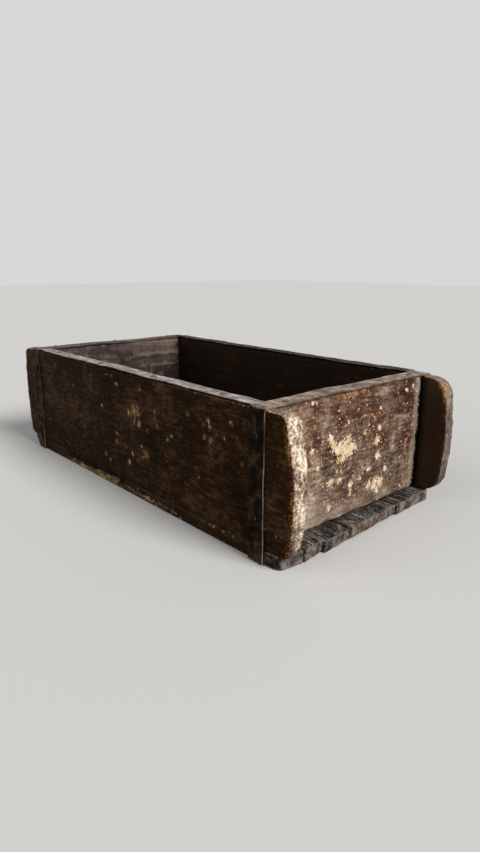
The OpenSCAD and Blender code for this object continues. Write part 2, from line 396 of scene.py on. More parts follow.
# rubbed paler along the arrises, partly a painted highlight on the edges, most past the box
rubbed = add(tree, "Attribute", {}, 2, attribute_name="arris")
rubbed = mixture(tree, (grit, 2.4), start=rubbed)
rubbed = add(tree, "MapRange", {0: rubbed, 1: 2.3, 2: 1.5, 4: 0.6})
held = add(tree, "MapRange", {0: past_box, 3: 0.55, 4: 1})
rubbed = add(tree, "Math", {0: rubbed, 1: held}, operation="MULTIPLY")
scuffed_and_highlit = add(tree, "Mix", {0: past_box, 6: linear("#80694f"), 7: linear("#877d74")}, 2, data_type="RGBA")
coats = ((past_box, grey), (side_on, brown), (end_on, tips), (ragged, bare), (rubbed, scuffed_and_highlit))
dress(tree, shader, clayed, coats, relief=mixture(tree, (fibre, 0.2), (grit, 0.25)),
      roughness=add(tree, "MapRange", {0: grit, 3: 0.95, 4: 0.65}), shine=0.06)

for seed, node in enumerate(SPLINTERS, start=1):
    low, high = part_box(node)
    plank = stock("plank", (-PLANK_CUT, low.y, low.z), (PLANK_CUT, high.y, high.z))
    for spread, across in NAIL_HOLES[node]:
        for side in (-1, 1):
            bpy.ops.object.select_all(action="DESELECT")
            hole_at = (side * spread * MM, across * MM, 0)
            bpy.ops.mesh.primitive_cylinder_add(vertices=16, radius=NAIL_HOLE_RADIUS,
                                                depth=2 * NAIL_HOLE_DEPTH, location=hole_at)
            cut_out(plank, bpy.context.active_object)
    if node == "base_plank_front":
        for middle, rise, length, turn in TEARS:
            tear = stock("tear", (-length * MM, -TEAR_REACH, -TEAR_DROP), (length * MM, TEAR_REACH, 0))
            tear_at = (middle * MM, low.y, rise * MM)
            tear.matrix_world = placing(tear_at, ("Z", turn), ("Y", turn), ("X", TEAR_SLANT))
            cut_out(plank, tear)
    parts = [plank]
    for start, end, tip, top, foot, skew, lean, corner in SPLINTERS[node]:
        out = math.copysign(1, tip)
        near, far = sorted((out * SPLINTER_ROOT, tip + out))
        splinter = stock("splinter", (near * MM, start * MM, foot * MM), (far * MM, end * MM, top * MM))
        shave(splinter, (tip * MM, (start + end) / 2 * MM, top * MM), (out, skew, lean))
        if tip > 0 and start < CRACK_AT[1] < end:
            crack = stock("crack", [value * MM for value in CRACK_LOW], [value * MM for value in CRACK_HIGH])
            crack.matrix_world = placing([value * MM for value in CRACK_AT], ("Z", CRACK_TURN))
            cut_out(splinter, crack)
        if corner:
            side = math.copysign(1, start)
            middle = Vector((tip - out * corner, side * (BASE_EDGE - corner), 0)) * MM
            for degrees in CORNER_CUTS:
                angle = math.radians(degrees)
                outward = Vector((out * math.cos(angle), side * math.sin(angle), 0))
                shave(splinter, middle + outward * corner * MM, outward)
        parts.append(splinter)
    plank = gather(parts, node + "_worn")
    # the ledges and the long edges wear, their lower arrises least
    edge_points = [point for point in arrises(plank) if abs(point.x) > LEDGE
                   or min(abs(point.y - low.y), abs(point.y - high.y)) < 0.1 * MM]
    age(plank, edge_points, PLANK_VOXEL, "X", seed, raised=0.15 * MM, reach=2.5 * MM, worn_down=1.0 * MM,
        chipped=0.4 * MM, exposed=lambda at: LOW_WEAR if at.z < LOW_ARRIS else 1.0)
    # the tips are broken off unevenly
    weigh(plank, "tips", [rising(abs(vertex.co.x) / MM, *TIPS) for vertex in plank.data.vertices])
    press(plank, "broken", "CLOUDS", 10 * MM, 2.2 * MM, 0.55, seed + 20, "tips")
    plank.vertex_groups.clear()
    # the ground has worn the underside flat
    for vertex in plank.data.vertices:
        vertex.co.z = max(0.0, vertex.co.z)
    raw_places = []
    if node == "base_plank_front":
        edge = low.y / MM
        raw_places = [(x, edge + inset, z, radius) for first, last, step, inset, z, radius in RAW_EDGES
                      for x in range(first, last, step)]
        along, inset, level, radius = RAW_ARRIS
        raw_places += [(x, edge + inset, level, radius) for x in along]
        raw_places += [(x, edge, z, radius) for x, z, radius in SPECKS]
    if node == "base_plank_middle":
        across, level, radius = RAW_END
        raw_places = [(high.x / MM, y, level, radius) for y in across]
    mark(plank, "raw", raw_places)
    plank.data.materials.append(plank_wood)
    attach(plank, "root")
    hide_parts(node)

# Side boards
# Two long boards of dense hardwood stand on the planks, blackened by oil, clay and hands. Their ends
# run past the end boards as rounded ears, the grips of the mould, and are worn down to pale bare wood.
SIDE_VOXEL = 0.9 * MM
# the rows of cuts that round an ear: how many are in each, and in degrees the first one on its bow,
# how far past the bow the first one on a corner is, and the last one there
EAR_CUTS = 6
BOW_FIRST = 2
CORNER_FIRST = 6
CORNER_LAST = 84
GROOVE_DEPTH = 3 * MM
GROOVE_GAP = 0.9 * MM
# the left ear, then the right one: radius and mid-height of its bowed end, radius at its top and at its foot
EARS = {
    "front_side_board": ((220, 44, 6, 9), (155, 41, 6.5, 4.5)),
    "rear_side_board": ((200, 42, 8, 9), (200, 44, 13, 13)),
}
# the right front ear: a flat worn on its upper outer arris, and how far blows have spread its end inwards
EAR_FLAT_AT = Vector((156.7, -74, 50)) * MM
EAR_FLAT_FACING = Vector((0.7, -0.7, 0.16)).normalized()
EAR_SPREAD = 0.9 * MM
# where it has spread, in mm: from and to along the mould and across it, its middle height and its reach
SPREAD_ALONG = (148, 154)
SPREAD_ACROSS = (-71, -66)
SPREAD_HEIGHT = 48
SPREAD_REACH = 20
# knocks on the outer face of the front board, where the oil has come off: x, z and size
KNOCKS = (
    (17, 60, 6), (10, 57, 3.2), (21, 52, 2.8), (15, 52, 1.8), (40, 64, 1.5), (42, 55, 1.9), (24, 75, 1.4),
    (-5, 74, 1.8), (-11, 79, 1.5), (-26, 56, 1.6), (74, 69, 1.5), (57, 52, 1.4), (53, 49, 1.5), (-8, 40, 1.5),
    (-8, 34, 1.7), (5, 33, 1.3), (23, 38, 1.6), (28, 34, 3.2), (24, 30, 1.7), (12, 30, 1.6), (7, 23, 2.2),
    (18, 27, 1.3), (-24, 21, 1.7), (-18, 18, 1.5), (31, 50, 1.4), (92, 69, 1.7), (88, 66, 1.5), (93, 65, 2),
    (89, 59, 1.8), (94, 58, 2.3), (106, 62, 1.4), (112, 71, 1.6), (120, 51, 1.6), (-69, 64, 1.2),
)
# how many times its size a knock reaches
KNOCK_REACH = 1.7
# cream wood on the worn end of the right front ear: y, z and size
CREAM = (
    (-69.5, 61, 5), (-66, 58, 4.5), (-73.6, 75, 2.4), (-73.4, 71, 2.2), (-73, 67, 2), (-70, 79, 4),
    (-66.4, 35, 3.5), (-66.6, 30, 3), (-67.2, 22, 2.4), (-67.8, 17, 2.2),
)
# how many times its size a patch reaches, and how far along the mould that end lies, in mm
CREAM_REACH = 2
CREAM_END = 156.5

# Oil-blackened hardwood. Near black-brown with hardly a shine, warm brown where hands rub it,
# tan flecks where it was knocked, and pale cream wood behind an orange margin on the worn ears.
side_wood, tree, shader = new_finish("oil_blackened_hardwood")
at, fibre, stain, grit = grain_fields(tree, "X", 1.7)
x, y, z = add(tree, "SeparateXYZ", {0: at}).node.outputs
facing = add(tree, "SeparateXYZ", {0: add(tree, "TexCoord", {}, 1)}).node.outputs
from_middle = add(tree, "Math", {0: x}, operation="ABSOLUTE")
pepper = add(tree, "TexNoise", {0: at, 2: 1 / 1.5, 3: 4, 4: 0.65})
streak = streaks(tree, at, (8, 1.8, 1.8), 4, 0.65)
tone = mixture(tree, (stain, 0.35), (fibre, 0.15), (grit, 0.2), (streak, 0.21), (pepper, 0.09))
oiled = add(tree, "ValToRGB", {0: tone}, stops=((0.42, "#0b0502"), (0.5, "#261608"), (0.58, "#4f3b28")))
# brown where hands have held the right end, and in clouds along the face
handled = mixture(tree, (stain, 160), start=x)
handled = add(tree, "MapRange", {0: handled, 1: 120, 2: 210, 4: 0.55})
beside = add(tree, "MapRange", {0: x, 1: 108, 2: 122, 3: 1, 4: 0.2})
at_ear = add(tree, "MapRange", {0: x, 1: 134, 2: 138})
beside = add(tree, "Math", {0: beside, 1: at_ear}, operation="MAXIMUM")
handled = add(tree, "Math", {0: handled, 1: beside}, operation="MULTIPLY")
warm = add(tree, "ValToRGB", {0: tone}, stops=((0.4, "#150902"), (0.5, "#382310"), (0.6, "#6b4e34")))
# the inner faces are a greyer brown, mixed in less out on the ears, where it is paler: painted fill light on
# their shaded inner faces
inward = add(tree, "Math", {0: facing[1], 1: y}, operation="MULTIPLY")
inward = add(tree, "MapRange", {0: inward, 1: -20, 2: -50})
corner = mixture(tree, (grit, -14), start=from_middle)
corner = add(tree, "MapRange", {0: corner, 1: 131, 2: 143, 3: 0.85, 4: 0.5})
inward = add(tree, "Math", {0: inward, 1: corner}, operation="MULTIPLY")
outward = add(tree, "Math", {0: 1, 1: inward}, operation="SUBTRACT")
outer = add(tree, "MapRange", {0: from_middle, 1: 139, 2: 143})
inner_grey_and_fill = add(tree, "Mix", {0: outer, 6: linear("#241a13"), 7: linear("#4a3a2e")}, 2, data_type="RGBA")
# dirt and painted shade, near black, along the foot where the board meets the planks
seam_dirt_and_shade = mixture(tree, (pepper, 1.5), start=z)
seam_dirt_and_shade = add(tree, "MapRange", {0: seam_dirt_and_shade, 1: 10.2, 2: 9.6, 4: 0.85})
# fine slanting scratches
scored = add(tree, "Mapping", {0: at, 2: (0, 0.7, 0), 3: (1 / 18, 1 / 3, 1 / 1.3)})
scored = add(tree, "TexNoise", {0: scored, 2: 1, 3: 3, 4: 0.6})
scored = add(tree, "MapRange", {0: scored, 1: 0.62, 2: 0.72, 4: 0.3})
# knocks show tan wood in a brown halo, and grains of sand have left pale dots
knocked = add(tree, "Attribute", {}, 2, attribute_name="knock")
halo = mixture(tree, (grit, 1.4), start=knocked)
halo = add(tree, "MapRange", {0: halo, 1: 0.9, 2: 1.3, 4: 0.8})
core = streaks(tree, at, (1.1, 1.1, 2.6), 4, 0.65)
core = mixture(tree, (core, 2.8), start=knocked)
core = add(tree, "MapRange", {0: core, 1: 1.95, 2: 2.35})
inside = add(tree, "MapRange", {0: knocked, 1: 0.02, 2: 0.2, 4: 0.85})
core = add(tree, "Math", {0: core, 1: inside}, operation="MULTIPLY")
dots = add(tree, "TexVoronoi", {0: at, 2: 1 / 2.6}).node
dot_size = add(tree, "SeparateXYZ", {0: dots.outputs[1]})
dot_size = add(tree, "MapRange", {0: dot_size, 1: 0.9, 2: 1, 3: 0, 4: 0.3})
dot = add(tree, "Math", {0: dot_size, 1: dots.outputs[0]}, operation="SUBTRACT")
dot = add(tree, "MapRange", {0: dot, 1: 0, 2: 0.08, 4: 0.55})
dot = add(tree, "Math", {0: dot, 1: outward}, operation="MULTIPLY")
core = add(tree, "Math", {0: core, 1: dot}, operation="MAXIMUM")
tan = add(tree, "ValToRGB", {0: grit}, stops=((0.42, "#7f6240"), (0.52, "#b99569"), (0.6, "#e8d2a8")))
# the upper arris of the outer face is rubbed thin and tan, up to the ear, and the tan line is partly a
# painted highlight on that arris
arris = add(tree, "Attribute", {}, 2, attribute_name="arris")
rubbed = mixture(tree, (pepper, 3.4), start=arris)
rubbed = add(tree, "MapRange", {0: rubbed, 1: 2.4, 2: 2, 4: 0.8})
near_end = add(tree, "MapRange", {0: x, 1: 30, 2: 80, 3: 0.15, 4: 1})
before_ear = add(tree, "MapRange", {0: x, 1: 137, 2: 136})
in_front = add(tree, "MapRange", {0: y, 1: -66, 2: -70})
for limit in (near_end, before_ear, in_front):
    rubbed = add(tree, "Math", {0: rubbed, 1: limit}, operation="MULTIPLY")
# the ears, from their oiled faces through an orange margin to bare wood, streaked up and down
drawn = streaks(tree, at, (2.4, 2.4, 14), 5, 0.65)
patch = add(tree, "TexNoise", {0: at, 2: 1 / 7, 3: 5, 4: 0.65})
rear = add(tree, "MapRange", {0: y, 1: -20, 2: 20})
on_ear = add(tree, "MapRange", {0: from_middle, 1: 134, 2: 139})
upward = add(tree, "Math", {0: facing[2], 1: on_ear}, operation="MULTIPLY")
endward = add(tree, "Math", {0: facing[0]}, operation="ABSOLUTE")
endward = add(tree, "Math", {0: endward, 1: on_ear}, operation="MULTIPLY")
worn = add(tree, "Math", {0: upward, 1: endward}, operation="MAXIMUM")
worn = mixture(tree, (grit, 0.9), (rear, -0.2), start=worn)
bare = add(tree, "MapRange", {0: worn, 1: 0.88, 2: 1.05})
verge = add(tree, "MapRange", {0: arris, 1: 3.4, 2: 0.4, 4: 0.8})
verge = mixture(tree, (drawn, 1), (patch, 1.2), (pepper, 0.5), start=verge)
verge = add(tree, "MapRange", {0: verge, 1: 1.62, 2: 2, 4: 0.85})
at_end = add(tree, "MapRange", {0: from_middle, 1: 148, 2: 153})
rear_top = add(tree, "MapRange", {0: z, 1: 60, 2: 74})
rear_top = add(tree, "Math", {0: rear_top, 1: rear}, operation="MULTIPLY")
seen = add(tree, "Math", {0: outward, 1: rear_top}, operation="MAXIMUM")
for limit in (at_end, seen):
    verge = add(tree, "Math", {0: verge, 1: limit}, operation="MULTIPLY")
margin = add(tree, "MapRange", {0: worn, 1: 0.74, 2: 0.9, 4: 0.9})
margin = add(tree, "Math", {0: margin, 1: verge}, operation="MAXIMUM")
low_rear = add(tree, "MapRange", {0: z, 1: 72, 2: 56, 4: 0.7})
low_rear = add(tree, "Math", {0: low_rear, 1: rear}, operation="MULTIPLY")
low_rear = add(tree, "Math", {0: 1, 1: low_rear}, operation="SUBTRACT")
margin = add(tree, "Math", {0: margin, 1: low_rear}, operation="MULTIPLY")
amber = mixture(tree, (drawn, 0.5), (pepper, 0.5), (rear_top, 0.06))
amber = add(tree, "ValToRGB", {0: amber},
            stops=((0.43, "#371f0c"), (0.5, "#6b401d"), (0.56, "#ad7640"), (0.62, "#d6aa70")))
cream = add(tree, "Attribute", {}, 2, attribute_name="cream")
pale = mixture(tree, (drawn, 0.22), (patch, 0.28), (pepper, 0.5), (cream, 0.13), start=-0.05)
# the rear ears are greyer, and so are the tops of all four and their feet
muted = add(tree, "Math", {0: rear, 1: 0.3}, operation="MULTIPLY")
tip = add(tree, "MapRange", {0: z, 1: 62, 2: 76, 3: 0.355, 4: 0.465})
pale = add(tree, "Mix", {0: muted, 2: pale, 3: tip}, 0, data_type="FLOAT")
sky = add(tree, "MapRange", {0: upward, 1: 0.55, 2: 0.9, 4: 0.4})
pale = add(tree, "Mix", {0: sky, 2: pale, 3: 0.435}, 0, data_type="FLOAT")
foot = add(tree, "MapRange", {0: z, 1: 30, 2: 14, 4: 0.04})
pale = add(tree, "Math", {0: pale, 1: foot}, operation="SUBTRACT")
pale = add(tree, "ValToRGB", {0: pale}, stops=(
    (0.37, "#4a382f"), (0.44, "#7a665a"), (0.49, "#ae9582"), (0.53, "#dec9a7"), (0.58, "#fff6e4")))
ashen = add(tree, "Mix", {0: muted, 6: pale, 7: linear("#6b6564")}, 2, data_type="RGBA")
coats = (
    (handled, warm), (inward, inner_grey_and_fill), (seam_dirt_and_shade, linear("#080402")), (scored, linear("#6d5a45")),
    (halo, linear("#54381a")), (core, tan), (rubbed, linear("#8a6c4b")), (margin, amber), (bare, ashen),
)
dress(tree, shader, oiled, coats, relief=mixture(tree, (fibre, 0.25), (grit, 0.15)),
      roughness=add(tree, "MapRange", {0: stain, 3: 0.5, 4: 0.8}), shine=0.03)


def round_over(piece, middle, radius, start, end, cuts):
    """A row of cuts in the plane of X and Z that rounds a piece to a radius, between angles in degrees."""
    for step in range(cuts):
        angle = math.radians(start + (end - start) * step / (cuts - 1))
        outward = Vector((math.cos(angle), 0, math.sin(angle)))
        shave(piece, middle + radius * outward, outward)


def side_exposure(at):
    """How much a side board wears at a place: most outside its ears, least inside them and by the iron."""
    on_ear = abs(at.x) > 138 * MM
    outside = abs(at.y) > 69 * MM
    by_iron = at.z > 79 * MM and abs(at.y) > 71 * MM
    if on_ear:
        return 0.7 if outside else 0.25
    return 0.3 if by_iron else 0.5


end_low, end_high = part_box("right_end_board")
for seed, (node, ears) in enumerate(EARS.items(), start=5):
    low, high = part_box(node)
    board = stock(node + "_worn", low, high)
    for end, values in zip((-1, 1), ears):
        bow, middle, top, foot = (value * MM for value in values)
        centre = Vector((end * (high.x - bow), 0, middle))
        flip = 0 if end > 0 else 180
        for up, radius, reach in ((1, top, high.z - middle), (-1, foot, middle - low.z)):
            rise = reach - radius
            lean = math.degrees(math.asin(rise / (bow - radius)))
            corner = centre + Vector((end * math.sqrt((bow - radius) ** 2 - rise ** 2), 0, up * rise))
            turn = end * up
            round_over(board, centre, bow, flip + turn * BOW_FIRST, flip + turn * lean, EAR_CUTS)
            round_over(board, corner, radius, flip + turn * (lean + CORNER_FIRST),
                       flip + turn * CORNER_LAST, EAR_CUTS)
    if node == "front_side_board":
        shave(board, EAR_FLAT_AT, EAR_FLAT_FACING)
    edge_points = arrises(board)
    inner = low.y if node == "rear_side_board" else high.y
    for end in (-1, 1):
        near, far = sorted((end * end_low.x, end * (end_high.x + GROOVE_GAP)))
        groove = stock("groove", (near, inner - GROOVE_DEPTH, low.z - MM),
                       (far, inner + GROOVE_DEPTH, high.z + MM))
        cut_out(board, groove)
    age(board, edge_points, SIDE_VOXEL, "X", seed, raised=0.35 * MM, reach=3 * MM, worn_down=1.1 * MM,
        chipped=0.9 * MM, exposed=side_exposure)
    knocks = []
    cream_places = []
    if node == "front_side_board":
        # the end grain of the right ear has spread
        for vertex in board.data.vertices:
            x, y, z = vertex.co / MM
            spread = rising(x, *SPREAD_ALONG) * rising(y, *SPREAD_ACROSS)
            vertex.co.y += EAR_SPREAD * spread * math.exp(-((z - SPREAD_HEIGHT) / SPREAD_REACH) ** 2)
        knocks = [(x, low.y / MM, z, KNOCK_REACH * size) for x, z, size in KNOCKS]
        # the cream lies on the bowed end of the right ear
        bow, middle = ears[1][:2]
        cream_places = [(CREAM_END - (z - middle) ** 2 / (2 * bow), y, z, CREAM_REACH * size)
                        for y, z, size in CREAM]
    mark(board, "knock", knocks)
    mark(board, "cream", cream_places)
    board.data.materials.append(side_wood)
    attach(board, "root")
    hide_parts(node)

# End boards
# Two shorter boards stand across the mould between the side boards, let into their grooves.
# They are brown hardwood that was limewashed. Most of the wash has flaked off the outside.
END_VOXEL = 0.7 * MM
# what is left of the wash on the outer face of the right board: y, z and size
WASH = (
    (-15, 50, 4.2), (-10, 50, 4.8), (-5, 49.5, 3.6), (-13, 46, 3), (-8, 55, 2.6), (-24, 58, 2.2),
    (-21.5, 55, 1.8), (-20, 53, 1.8), (-1, 48.4, 1.8), (-15, 45, 2.2), (15, 21.5, 2.4), (20, 21.5, 3.4),
    (26, 21, 2.8), (23.5, 16, 1.3), (22, 39.6, 2.2), (13.5, 32.5, 1.4), (30.7, 28.6, 1.4), (-4, 27, 2.2),
    (-14.7, 31.6, 1.7), (-22, 32, 2.1), (4.7, 28.3, 1.4), (-22.7, 17.5, 1.7), (-39, 54.4, 1.7),
    (-33.6, 43.8, 1.1), (7.8, 56.5, 1.6), (20, 49, 2.4), (-8.7, 65, 1), (-39.6, 81.5, 1), (-36.7, 81, 1),
    (54.8, 78.3, 1.2), (48, 76.6, 1.1), (22, 69, 1.1), (22, 56.4, 1.2), (-17, 38.4, 1), (-3.3, 20.4, 1),
)
# how many times its size a crumb reaches
WASH_REACH = 2
# where that face is rubbed to orange wood: y, z and radius
RUBS = (
    (-15, 80.5, 5), (-9, 81.5, 5), (-3, 82, 5), (3, 82.5, 4), (-27, 75, 5),
    (-24, 58, 4), (52, 39, 5), (52, 42, 4), (24, 72, 4), (12, 66, 4),
)

# Flaked limewash on brown hardwood. Dull purplish brown with rust-orange rubs, and crumbs of cream wash.
limewashed, tree, shader = new_finish("limewashed_hardwood")
at, fibre, stain, grit = grain_fields(tree, "Y", 1.5)
y = add(tree, "SeparateXYZ", {0: at}, 1)
z = add(tree, "SeparateXYZ", {0: at}, 2)
mottle = add(tree, "TexNoise", {0: at, 2: 1 / 7, 3: 6, 4: 0.7})
pepper = add(tree, "TexNoise", {0: at, 2: 1 / 1.4, 3: 4, 4: 0.65})
stroke = streaks(tree, at, (1.5, 7, 1.5), 4, 0.65)
tone = mixture(tree, (stain, 0.2), (fibre, 0.15), (mottle, 0.3), (stroke, 0.22), (pepper, 0.13))
# paler and more even towards the foot, paler to the front, where the board was splashed
calm = add(tree, "MapRange", {0: z, 1: 34, 2: 18, 4: 0.4})
tone = add(tree, "Mix", {0: calm, 2: tone, 3: 0.5}, 0, data_type="FLOAT")
foot = add(tree, "MapRange", {0: z, 1: 30, 2: 10, 4: 0.035})
fore = add(tree, "MapRange", {0: y, 1: -5, 2: -50, 4: 0.05})
for lift in (foot, fore):
    tone = add(tree, "Math", {0: tone, 1: lift}, operation="ADD")
colour = add(tree, "ValToRGB", {0: tone}, stops=(
    (0.41, "#221610"), (0.46, "#46342a"), (0.51, "#6f594a"), (0.555, "#998473"), (0.605, "#c6b4a3")))
# warmer towards the top
hue = add(tree, "TexNoise", {0: at, 2: 1 / 22, 3: 4, 4: 0.6})
warm = mixture(tree, (z, 0.004), start=hue)
warm = add(tree, "MapRange", {0: warm, 1: 0.64, 2: 0.8, 4: 0.75})
colour = add(tree, "Mix", {0: warm, 6: colour, 7: linear("#cba387")}, 2,
             data_type="RGBA", blend_type="MULTIPLY")
# rubs down to orange wood
rubbed = add(tree, "Attribute", {}, 2, attribute_name="rub")
rust = add(tree, "TexNoise", {0: at, 2: 1 / 9, 3: 6, 4: 0.75})
rust = mixture(tree, (rubbed, 0.3), (pepper, 0.3), start=rust)
rust = add(tree, "MapRange", {0: rust, 1: 0.75, 2: 0.93, 4: 0.8})
orange = add(tree, "ValToRGB", {0: mottle}, stops=((0.38, "#6b3c1f"), (0.5, "#9c5f36"), (0.62, "#c89a68")))
# a pale margin beside the rear ear, with a ragged painted shadow along its edge in the corner, and dirt along
# the foot
ragged = add(tree, "TexNoise", {0: at, 2: 1 / 4.2, 3: 8, 4: 0.75})
margin = mixture(tree, (ragged, 14), start=y)
margin = add(tree, "MapRange", {0: margin, 1: 63.5, 2: 67.5, 4: 0.6})
ear_corner_shadow = mixture(tree, (ragged, 13), start=y)
ear_corner_shadow = add(tree, "MapRange", {0: ear_corner_shadow, 1: 69.4, 2: 70})
dirt = mixture(tree, (ragged, 5), start=z)
dirt = add(tree, "MapRange", {0: dirt, 1: 11.2, 2: 10.7, 4: 0.9})
# crumbs of wash, ragged round each place, and stray specks
near_wash = add(tree, "Attribute", {}, 2, attribute_name="wash")
crumb = mixture(tree, (ragged, 1.9), (pepper, 1.6), start=near_wash)
crumb = add(tree, "MapRange", {0: crumb, 1: 2.15, 2: 2.3})
cells = add(tree, "SeparateXYZ", {0: add(tree, "TexVoronoi", {0: at, 2: 1 / 0.95}, 1)}).node.outputs
often = add(tree, "MapRange", {0: hue, 1: 0.4, 2: 0.62, 3: 0.02, 4: 0.085})
speck = mixture(tree, (near_wash, 0.2), start=often)
speck = add(tree, "Math", {0: speck, 1: cells[1]}, operation="SUBTRACT")
speck = add(tree, "MapRange", {0: speck, 1: 0, 2: 0.05, 4: 0.85})
crumb = add(tree, "Math", {0: crumb, 1: speck}, operation="MAXIMUM")
cream = mixture(tree, (cells[2], 0.3), start=ragged)
cream = add(tree, "ValToRGB", {0: cream},
            stops=((0.46, "#b98d60"), (0.56, "#dab58a"), (0.7, "#f0d7b0"), (0.85, "#fbeede")))
coats = (
    (rust, orange), (margin, linear("#bfa893")), (ear_corner_shadow, linear("#150d07")), (dirt, linear("#150d07")),
    (crumb, cream),
)
dress(tree, shader, colour, coats, relief=mixture(tree, (fibre, 0.12), (mottle, 0.25), (crumb, 0.12)),
      roughness=add(tree, "MapRange", {0: stain, 3: 0.6, 4: 0.85}), shine=0.15)

# Hardwood greyed by wet clay. Lilac grey with grain arcs, and a paler band along the top
# that the clay never reached.
greyed, tree, shader = new_finish("clay_greyed_hardwood")
at, fibre, stain, grit = grain_fields(tree, "Y", 1.6)
y = add(tree, "SeparateXYZ", {0: at}, 1)
z = add(tree, "SeparateXYZ", {0: at}, 2)
rings = streaks(tree, along_grain(tree, at, "Y"), (150, 16, 16), 2, 0.5)
rings = add(tree, "Math", {0: rings, 1: 9}, operation="MULTIPLY")
rings = add(tree, "Math", {0: rings, 1: 1}, operation="PINGPONG")
tone = mixture(tree, (stain, 0.35), (fibre, 0.35), (rings, 0.12), (grit, 0.2))
colour = add(tree, "ValToRGB", {0: tone}, stops=((0.4, "#1e1613"), (0.52, "#413631"), (0.64, "#6b5e59")))
cloud = add(tree, "TexNoise", {0: at, 2: 1 / 9, 3: 6, 4: 0.7})
worn = add(tree, "MapRange", {0: cloud, 1: 0.52, 2: 0.68, 4: 0.6})
level = mixture(tree, (cloud, 8), start=z)
band = add(tree, "MapRange", {0: level, 1: 72, 2: 74})
past = mixture(tree, (cloud, 40), start=y)
past = add(tree, "MapRange", {0: past, 1: 30, 2: 42, 4: 0.75})
band = add(tree, "Math", {0: band, 1: past}, operation="MULTIPLY")
border = add(tree, "MapRange", {0: level, 1: 77.5, 2: 74, 4: 0.7})
buff = add(tree, "ValToRGB", {0: tone}, stops=((0.4, "#31261f"), (0.52, "#594b42"), (0.66, "#81705f")))
buff = add(tree, "Mix", {0: border, 6: buff, 7: linear("#96836f")}, 2, data_type="RGBA")
coats = ((worn, linear("#7d706b")), (band, buff))
dress(tree, shader, colour, coats, relief=mixture(tree, (fibre, 0.2), (grit, 0.1)),
      roughness=add(tree, "MapRange", {0: stain, 3: 0.6, 4: 0.85}), shine=0.15)

for seed, node in enumerate(("left_end_board", "right_end_board"), start=8):
    low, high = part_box(node)
    board = stock(node + "_worn", low, high)
    age(board, arrises(board), END_VOXEL, "Y", seed, raised=0.3 * MM, reach=3 * MM, worn_down=1.2 * MM,
        chipped=0.8 * MM)
    if node == "right_end_board":
        mark(board, "wash", [(high.x / MM, y, z, WASH_REACH * size) for y, z, size in WASH])
        mark(board, "rub", [(high.x / MM, *spot) for spot in RUBS])
        board.data.materials.append(limewashed)
    else:
        board.data.materials.append(greyed)
    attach(board, "root")
    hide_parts(node)

# End straps
# A strip of hoop iron is bent over each end board, and its two legs run down the side boards to the planks.
# The top is rubbed grey by the striking stick, the legs are black with old oil, and the feet are rusty.
IRON = 1.2 * MM
IRON_EDGE = 0.3 * MM
# from where to where round a nail the iron comes loose, in mm
LOOSE = (3, 17)
# oxide hides nearly all of the bare metal
OXIDE_METALLIC = 0.05
STRAP_BEND = 3 * MM
BEND_STEPS = 6
LEG_STEPS = 50
# nails of the right strap, in mm: through its legs, and down through its top, their heads on the iron
NAIL_LEVEL = 84.2
LEG_NAILS = ((130.1, -75.2, 25), (130.1, -75.2, 69), (130.1, 75.2, 25), (130.1, 75.2, 69))
TOP_NAILS = ((132.9, -56, NAIL_LEVEL), (132.9, 0, NAIL_LEVEL), (132.9, 56, NAIL_LEVEL))

# Old hoop iron. Dull dark oxide, grey where it is rubbed, rusty at the feet. The thin edges are worn pale and
# painted as highlights.
hoop_iron, tree, shader = new_finish("old_hoop_iron")
at = in_mm(tree)
x, y, z = add(tree, "SeparateXYZ", {0: at}).node.outputs
facing = add(tree, "SeparateXYZ", {0: add(tree, "TexCoord", {}, 1)}).node.outputs
blotch = add(tree, "TexNoise", {0: at, 2: 1 / 7, 3: 6, 4: 0.65})
pits = add(tree, "TexNoise", {0: at, 2: 1 / 1.8, 3: 4, 4: 0.6})
sheen = mixture(tree, (blotch, 0.45), (streaks(tree, at, (14, 1.3, 1.3), 5, 0.65), 0.55))
dark = add(tree, "ValToRGB", {0: blotch}, stops=((0.4, "#070301"), (0.52, "#1f130a"), (0.64, "#463522")))
# rubbed grey on top; the rear rim is left dark, and the left strap duller
on_top = mixture(tree, (pits, 0.5), start=facing[2])
on_top = add(tree, "MapRange", {0: on_top, 1: 0.9, 2: 1.15})
before_rear = add(tree, "MapRange", {0: y, 1: 58, 2: 66, 3: 1, 4: 0.08})
right = add(tree, "MapRange", {0: x, 1: 123, 2: 126, 4: 0.8})
before_rear = add(tree, "Math", {0: before_rear, 1: right}, operation="MAXIMUM")
past_left = add(tree, "MapRange", {0: x, 1: -126, 2: -120, 3: 0.3, 4: 1})
for limit in (before_rear, past_left):
    on_top = add(tree, "Math", {0: on_top, 1: limit}, operation="MULTIPLY")
grey = add(tree, "ValToRGB", {0: sheen}, stops=((0.38, "#5b4f48"), (0.5, "#988b84"), (0.6, "#d0c6c0")))
# the right strap is browner than the rims
brown = add(tree, "MapRange", {0: x, 1: 125, 2: 128, 4: 0.9})
brown = add(tree, "Math", {0: brown, 1: on_top}, operation="MULTIPLY")
tarnish = add(tree, "ValToRGB", {0: sheen}, stops=((0.38, "#4a3a2e"), (0.5, "#8a7768"), (0.6, "#c8b9ac")))
# rust at the feet
rusty = mixture(tree, (blotch, -30), start=z)
rusty = add(tree, "MapRange", {0: rusty, 1: -2, 2: -12})
rust = add(tree, "ValToRGB", {0: pits}, stops=((0.38, "#2a1c12"), (0.6, "#5c4431")))
